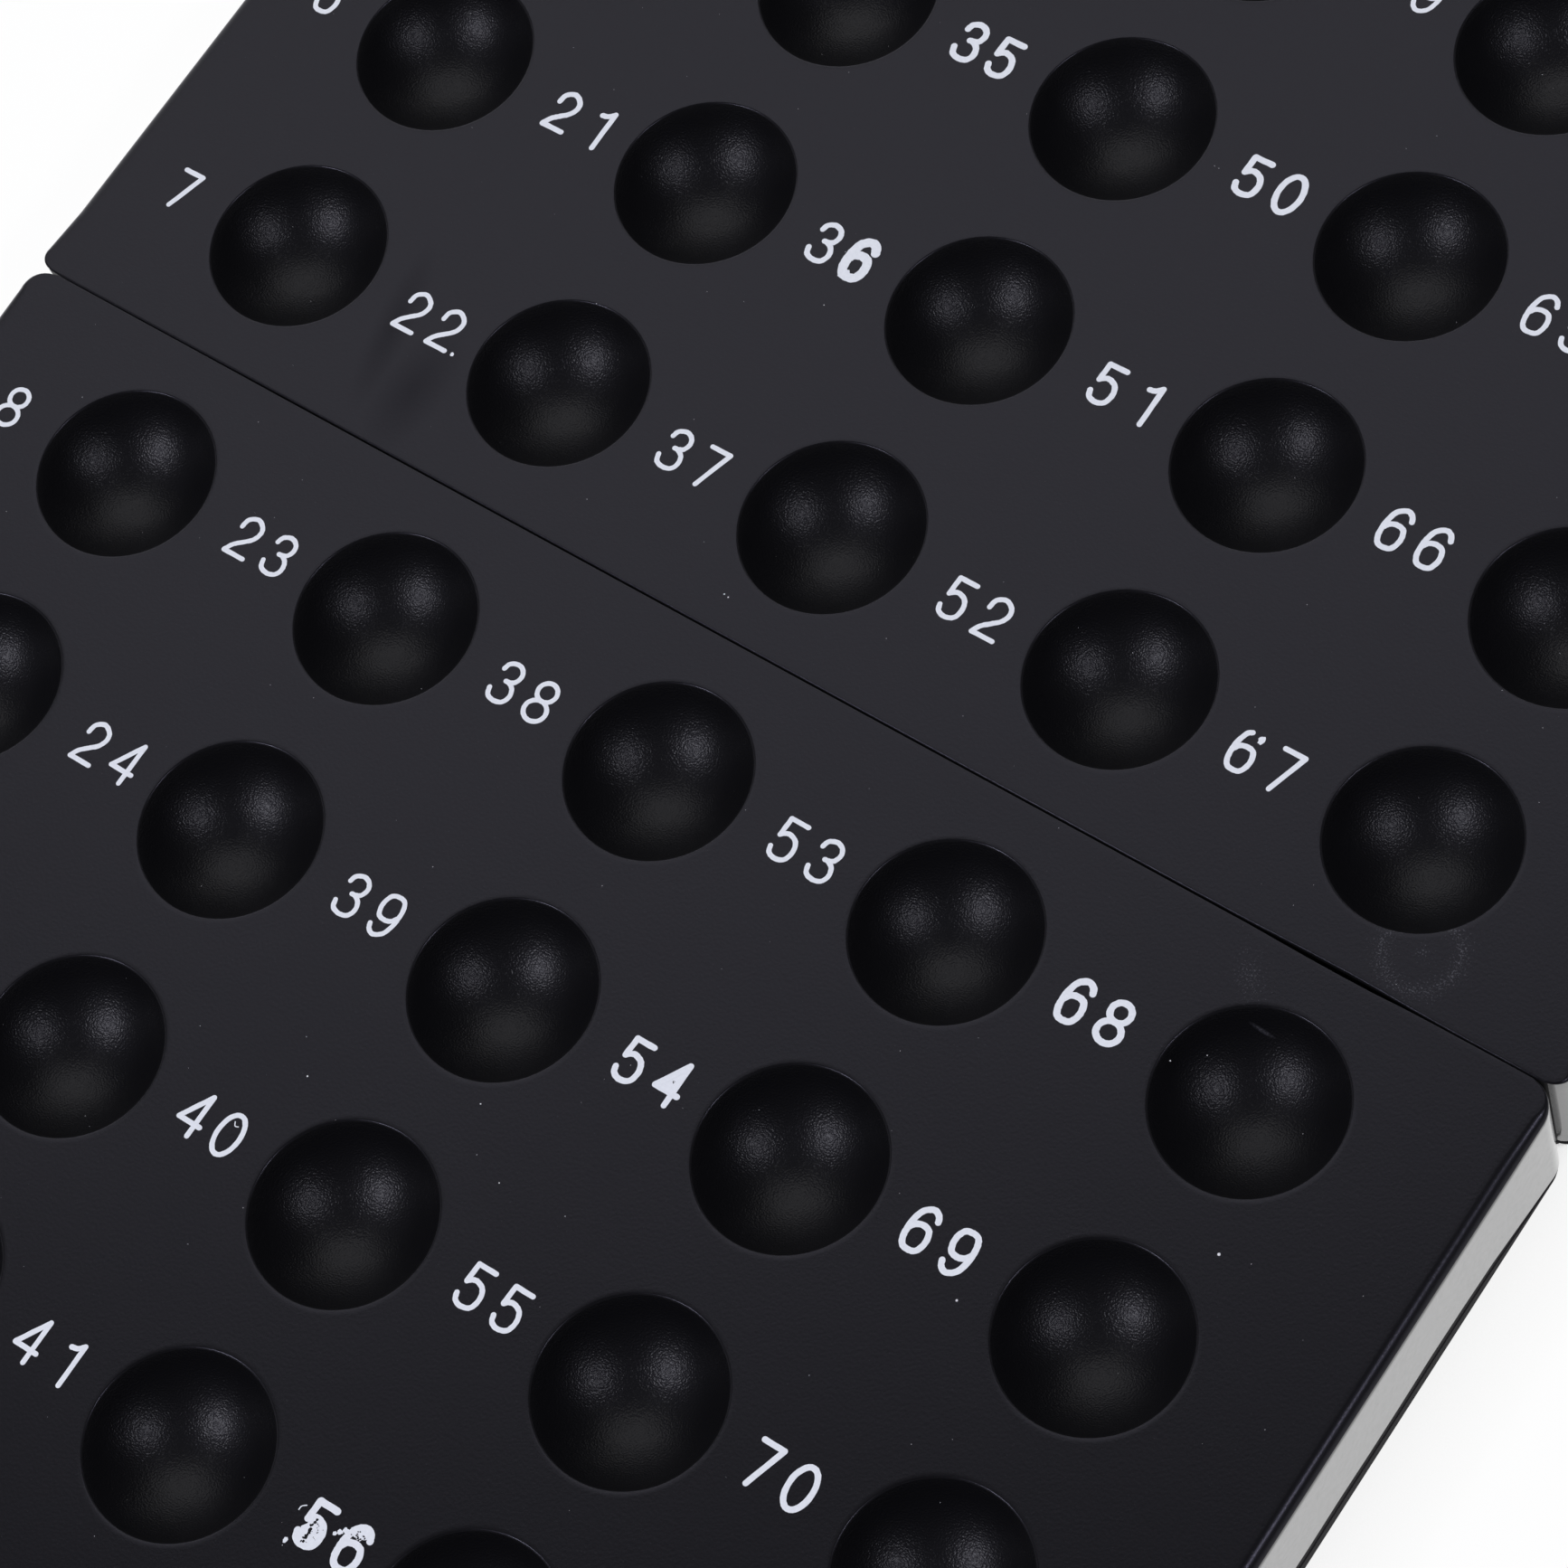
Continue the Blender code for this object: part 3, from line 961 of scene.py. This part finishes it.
def satin_abs():
    """The flat face's black ABS: a satin skin with a faint bluish bloom where it is seen low.

    Fine pale hatching shows where other things rubbed it, beside two of the cups near the seam,
    and a dark greasy streak and smear run beside one of the numbers. The real skin's etching is
    under 0.1 mm across, and is drawn at 0.4 mm so that it shows.
    """
    material, tree = new_material("black_abs_satin_face")
    place = add_node(tree, "ShaderNodeTexCoord").outputs["Object"]
    stipple = add_node(
        tree, "ShaderNodeTexNoise", Vector=place, Scale=1 / (0.4 * MM), Detail=2.0, Roughness=0.6
    )
    bump = add_node(
        tree, "ShaderNodeBump", Height=stipple.outputs["Fac"], Strength=1.0, Distance=0.012 * MM
    )
    hatch = add_node(
        tree, "ShaderNodeTexNoise", Vector=place, Scale=1 / (0.2 * MM), Detail=2.0, Roughness=0.7
    )
    ring = add_node(
        tree, "ShaderNodeMath", {"operation": "PINGPONG"}, _0=local_mask(tree, place, *RING_SCUFF),
        _1=0.35,
    )
    ringed = add_node(
        tree, "ShaderNodeMath", {"operation": "MULTIPLY_ADD"}, _0=ring.outputs[0], _1=0.5,
        _2=hatch.outputs["Fac"],
    )
    worn = add_node(
        tree, "ShaderNodeMath", {"operation": "MULTIPLY_ADD"}, _1=0.17, _2=ringed.outputs[0],
        _0=local_mask(tree, place, *PATCH_SCUFF),
    )
    flecks = add_node(
        tree, "ShaderNodeMapRange", Value=worn.outputs[0], From_Min=0.7, From_Max=0.85,
        To_Min=0.0, To_Max=1.0,
    )
    tone = add_node(
        tree, "ShaderNodeMix", {"data_type": "RGBA"}, _0=flecks.outputs[0],
        _6=linear("#0a0a0b"), _7=linear("#48484c"),
    )
    grease = highest(tree, local_mask(tree, place, *STREAK), local_mask(tree, place, *SMEAR))
    glaze = add_node(
        tree, "ShaderNodeMix", {"data_type": "RGBA"}, _0=grease,
        _6=linear("#eae8ff"), _7=linear("#b8b5cc"),
    )
    shader = add_node(
        tree, "ShaderNodeBsdfPrincipled", Base_Color=tone.outputs[2], Roughness=0.3, IOR=1.4,
        Specular_IOR_Level=0.24, Specular_Tint=glaze.outputs[2], Sheen_Weight=0.12,
        Sheen_Roughness=0.5, Sheen_Tint=linear("#e6e3f4"), Normal=bump.outputs["Normal"],
    )
    surface(tree, shader.outputs["BSDF"])
    return material


def grained_abs():
    """Black ABS off a spark-eroded cup core: a fine grain breaks each highlight into sparkle.

    One cup by the seam has a short pale scratch high on its wall. Spark grain is about 0.1 mm
    across, and is drawn at 0.2 mm so that it shows.
    """
    material, tree = new_material("black_abs_spark_grain")
    place = add_node(tree, "ShaderNodeTexCoord").outputs["Object"]
    grain = add_node(
        tree, "ShaderNodeTexNoise", Vector=place, Scale=1 / (0.2 * MM), Detail=0.0, Roughness=0.5
    )
    swell = add_node(
        tree, "ShaderNodeBump", Height=grain.outputs["Fac"], Strength=1.0, Distance=0.02 * MM
    )
    sparkle = add_node(
        tree, "ShaderNodeBump", Height=grain.outputs["Fac"], Strength=1.0, Distance=0.05 * MM
    )
    scratch = add_node(
        tree, "ShaderNodeMath", {"operation": "MULTIPLY"}, _0=local_mask(tree, place, *CUP_SCRATCH),
        _1=grain.outputs["Fac"],
    )
    tone = add_node(
        tree, "ShaderNodeMix", {"data_type": "RGBA"}, _0=scratch.outputs[0],
        _6=linear("#0c0c0e"), _7=linear("#48484e"),
    )
    shader = add_node(
        tree, "ShaderNodeBsdfPrincipled", Base_Color=tone.outputs[2], Roughness=0.46, IOR=1.4,
        Specular_IOR_Level=0.1, Specular_Tint=linear("#f0edff"), Normal=swell.outputs["Normal"],
        Coat_Weight=0.27, Coat_Roughness=0.32, Coat_IOR=1.4,
        Coat_Normal=sparkle.outputs["Normal"],
    )
    surface(tree, shader.outputs["BSDF"])
    return material


def polished_abs():
    """The same ABS off a polished mould wall.

    The side walls mirror the pale table, as a mid grey where they are faced and much more brightly
    where they are seen from above. Fine pits break that mirror.
    """
    material, tree = new_material("black_abs_polished_wall")
    place = add_node(tree, "ShaderNodeTexCoord").outputs["Object"]
    pits = add_node(
        tree, "ShaderNodeTexNoise", Vector=place, Scale=1 / (0.8 * MM), Detail=2.0, Roughness=0.5
    )
    rough = add_node(
        tree, "ShaderNodeMapRange", Value=pits.outputs["Fac"], From_Min=0.3, From_Max=0.8,
        To_Min=0.16, To_Max=0.28,
    )
    shader = add_node(
        tree, "ShaderNodeBsdfPrincipled", Base_Color=linear("#242426"), Roughness=rough.outputs[0],
        IOR=1.5, Coat_Weight=0.95, Coat_IOR=1.6, Coat_Roughness=0.1,
    )
    surface(tree, shader.outputs["BSDF"])
    return material


def foot_painted_shade():
    """The rebate at the foot, where the mould's two sides met, dull and dark: painted shade for the
    contact shadow under the foot and its reflection in the wall, a little mottled.
    """
    material, tree = new_material("black_abs_foot_painted_shade")
    place = add_node(tree, "ShaderNodeTexCoord").outputs["Object"]
    shade_mottle = add_node(
        tree, "ShaderNodeTexNoise", Vector=place, Scale=1 / (3 * MM), Detail=3.0, Roughness=0.6
    )
    tone = add_node(
        tree, "ShaderNodeMix", {"data_type": "RGBA"}, _0=shade_mottle.outputs["Fac"],
        _6=linear("#151416"), _7=linear("#222022"),
    )
    shader = add_node(
        tree, "ShaderNodeBsdfPrincipled", Base_Color=tone.outputs[2], Roughness=0.7, IOR=1.5,
        Specular_IOR_Level=0.15,
    )
    surface(tree, shader.outputs["BSDF"])
    return material


def underside_abs():
    """The tray's inside, off a plain milled core: even and half dull."""
    material, tree = new_material("black_abs_core_side")
    place = add_node(tree, "ShaderNodeTexCoord").outputs["Object"]
    marks = add_node(
        tree, "ShaderNodeTexNoise", Vector=place, Scale=1 / (2 * MM), Detail=4.0, Roughness=0.6
    )
    rough = add_node(
        tree, "ShaderNodeMapRange", Value=marks.outputs["Fac"], From_Min=0.3, From_Max=0.7,
        To_Min=0.4, To_Max=0.52,
    )
    shader = add_node(
        tree, "ShaderNodeBsdfPrincipled", Base_Color=linear("#131315"), Roughness=rough.outputs[0],
        IOR=1.5,
    )
    surface(tree, shader.outputs["BSDF"])
    return material


def number_ink():
    """White pad-printing ink: flat, opaque, a touch thin in places."""
    material, tree = new_material("white_pad_ink")
    place = add_node(tree, "ShaderNodeTexCoord").outputs["Object"]
    thin = add_node(
        tree, "ShaderNodeTexNoise", Vector=place, Scale=1 / (0.4 * MM), Detail=3.0, Roughness=0.6
    )
    tone = add_node(
        tree, "ShaderNodeMix", {"data_type": "RGBA"}, _0=thin.outputs["Fac"],
        _6=linear("#d3d7de"), _7=linear("#e6e9ef"),
    )
    shader = add_node(
        tree, "ShaderNodeBsdfPrincipled", Base_Color=tone.outputs[2], Roughness=0.6, IOR=1.45
    )
    surface(tree, shader.outputs["BSDF"])
    return material


def pale_dust():
    """Grains of household dust: pale and quite matt."""
    material, tree = new_material("pale_dust")
    place = add_node(tree, "ShaderNodeTexCoord").outputs["Object"]
    mottle = add_node(tree, "ShaderNodeTexNoise", Vector=place, Scale=1 / (0.1 * MM), Detail=2.0)
    tone = add_node(
        tree, "ShaderNodeMix", {"data_type": "RGBA"}, _0=mottle.outputs["Fac"],
        _6=linear("#c4c4c8"), _7=linear("#f2f2f6"),
    )
    shader = add_node(tree, "ShaderNodeBsdfPrincipled", Base_Color=tone.outputs[2], Roughness=0.9)
    surface(tree, shader.outputs["BSDF"])
    return material


def key_plastic():
    """The keys' plain black moulding plastic, a little shinier than the board."""
    material, tree = new_material("black_key_moulding")
    place = add_node(tree, "ShaderNodeTexCoord").outputs["Object"]
    marks = add_node(
        tree, "ShaderNodeTexNoise", Vector=place, Scale=1 / (1.5 * MM), Detail=3.0, Roughness=0.5
    )
    rough = add_node(
        tree, "ShaderNodeMapRange", Value=marks.outputs["Fac"], From_Min=0.3, From_Max=0.7,
        To_Min=0.34, To_Max=0.46,
    )
    shader = add_node(
        tree, "ShaderNodeBsdfPrincipled", Base_Color=linear("#18181a"), Roughness=rough.outputs[0],
        IOR=1.5,
    )
    surface(tree, shader.outputs["BSDF"])
    return material


def table_top():
    """A white table, lit to white for the eye, with a little of its matt self for a soft shadow.

    The light goes out where something covers the table, so that it is dark under the board.
    """
    material, tree = new_material("white_table")
    path = add_node(tree, "ShaderNodeLightPath").outputs
    eye = highest(tree, path["Is Camera Ray"], path["Is Glossy Ray"], path["Is Transmission Ray"])
    seen = add_node(tree, "ShaderNodeMath", {"operation": "MULTIPLY"}, _0=eye, _1=0.95)
    matt = add_node(tree, "ShaderNodeBsdfDiffuse", Color=linear("#f4f4f6"))
    sky = add_node(tree, "ShaderNodeAmbientOcclusion", {"samples": 4}, Distance=COVER_REACH)
    uncovered = add_node(
        tree, "ShaderNodeMapRange", Value=sky.outputs["AO"], From_Min=0.02, From_Max=0.3,
        To_Min=0.0, To_Max=1.0,
    )
    glow = add_node(
        tree, "ShaderNodeEmission", Color=linear("#ffffff"), Strength=uncovered.outputs[0]
    )
    mix = add_node(
        tree, "ShaderNodeMixShader", _0=seen.outputs[0], _1=matt.outputs[0], _2=glow.outputs[0]
    )
    surface(tree, mix.outputs[0])
    return material


def studio_world():
    """White all round for the eye. Gloss mirrors a white horizon under the dark of the studio."""
    world = bpy.data.worlds.new("studio")
    bpy.context.scene.world = world
    world.use_nodes = True
    tree = world.node_tree
    tree.nodes.clear()
    path = add_node(tree, "ShaderNodeLightPath").outputs
    place = add_node(tree, "ShaderNodeTexCoord").outputs["Generated"]
    height = add_node(tree, "ShaderNodeSeparateXYZ", _0=place).outputs["Z"]
    above = add_node(
        tree, "ShaderNodeMapRange", Value=height, From_Min=HORIZON_LOW, From_Max=HORIZON_HIGH,
        To_Min=1.0, To_Max=0.004,
    ).outputs[0]
    mirrored = add_node(
        tree, "ShaderNodeMath", {"operation": "MULTIPLY"}, _0=path["Is Glossy Ray"], _1=above
    ).outputs[0]
    strength = highest(tree, path["Is Camera Ray"], path["Is Transmission Ray"], mirrored, FILL)
    background = add_node(
        tree, "ShaderNodeBackground", Color=linear("#ffffff"), Strength=strength
    )
    add_node(tree, "ShaderNodeOutputWorld", Surface=background.outputs[0])


def softbox(name, azimuth, elevation, distance, width, height, radiance, colour):
    """A soft lamp of even radiance that faces the middle of the board."""
    lamp = bpy.data.lights.new(name, "AREA")
    lamp.shape = "RECTANGLE"
    lamp.size = width
    lamp.size_y = height
    lamp.energy = radiance * math.pi * width * height
    lamp.color = linear(colour)[:3]
    obj = bpy.data.objects.new(name, lamp)
    turn, rise = math.radians(azimuth), math.radians(elevation)
    level = math.cos(rise)
    toward = Vector((level * math.cos(turn), level * math.sin(turn), math.sin(rise)))
    obj.location = toward * distance
    obj.rotation_euler = (-toward).to_track_quat("-Z", "Y").to_euler()
    bpy.context.scene.collection.objects.link(obj)


def studio_camera():
    """The camera at the photograph's viewing angle."""
    camera = bpy.data.cameras.new("photo_view")
    camera.sensor_width = CAMERA_SENSOR
    camera.lens = CAMERA_LENS
    camera.clip_start = 0.01
    obj = bpy.data.objects.new("photo_view", camera)
    obj.location = CAMERA_PLACE
    toward = CAMERA_AIM - CAMERA_PLACE
    obj.rotation_mode = "QUATERNION"
    turned = toward.to_track_quat("-Z", "Y").to_matrix().to_4x4()
    obj.rotation_quaternion = (turned @ Matrix.Rotation(CAMERA_ROLL, 4, "Z")).to_quaternion()
    bpy.context.scene.collection.objects.link(obj)
    bpy.context.scene.camera = obj


def table(finish):
    """The table: a wide plane just below the board's feet, not attached to the board."""
    bm = bmesh.new()
    bmesh.ops.create_grid(bm, x_segments=1, y_segments=1, size=TABLE_REACH)
    mesh = bpy.data.meshes.new("table")
    bm.to_mesh(mesh)
    bm.free()
    mesh.materials.append(finish)
    obj = bpy.data.objects.new("table", mesh)
    obj.location.z = -TABLE_DROP
    bpy.context.scene.collection.objects.link(obj)


def dress_keys(finish):
    """The keys are the frame's own nodes, with rounded edges and their plastic."""
    for number in range(1, COLUMNS):
        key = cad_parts[f"seam_key_{number}"]
        key.data.materials.clear()
        key.data.materials.append(finish)
        rounded = key.modifiers.new("moulded edges", "BEVEL")
        rounded.width = KEY_ROUND
        rounded.segments = KEY_BANDS


studio_camera()
bpy.context.scene.view_settings.view_transform = "Standard"
finishes = [satin_abs(), grained_abs(), polished_abs(), foot_painted_shade(), underside_abs()]
moulded_half("lower_half_moulding", -1, LOWER_ROWS, finishes, "lower_board")
moulded_half("upper_half_moulding", 1, UPPER_ROWS, finishes, "upper_board")
inks = [number_ink(), finishes[SATIN]]
printed_numbers("lower_numbers", False, inks, "lower_board")
printed_numbers("upper_numbers", True, inks, "upper_board")
dust = pale_dust()
dust_grains("lower_dust", False, dust, "lower_board")
dust_grains("upper_dust", True, dust, "upper_board")
dress_keys(key_plastic())
table(table_top())
studio_world()
for lamp_name, values in LAMPS.items():
    softbox(lamp_name, *values)
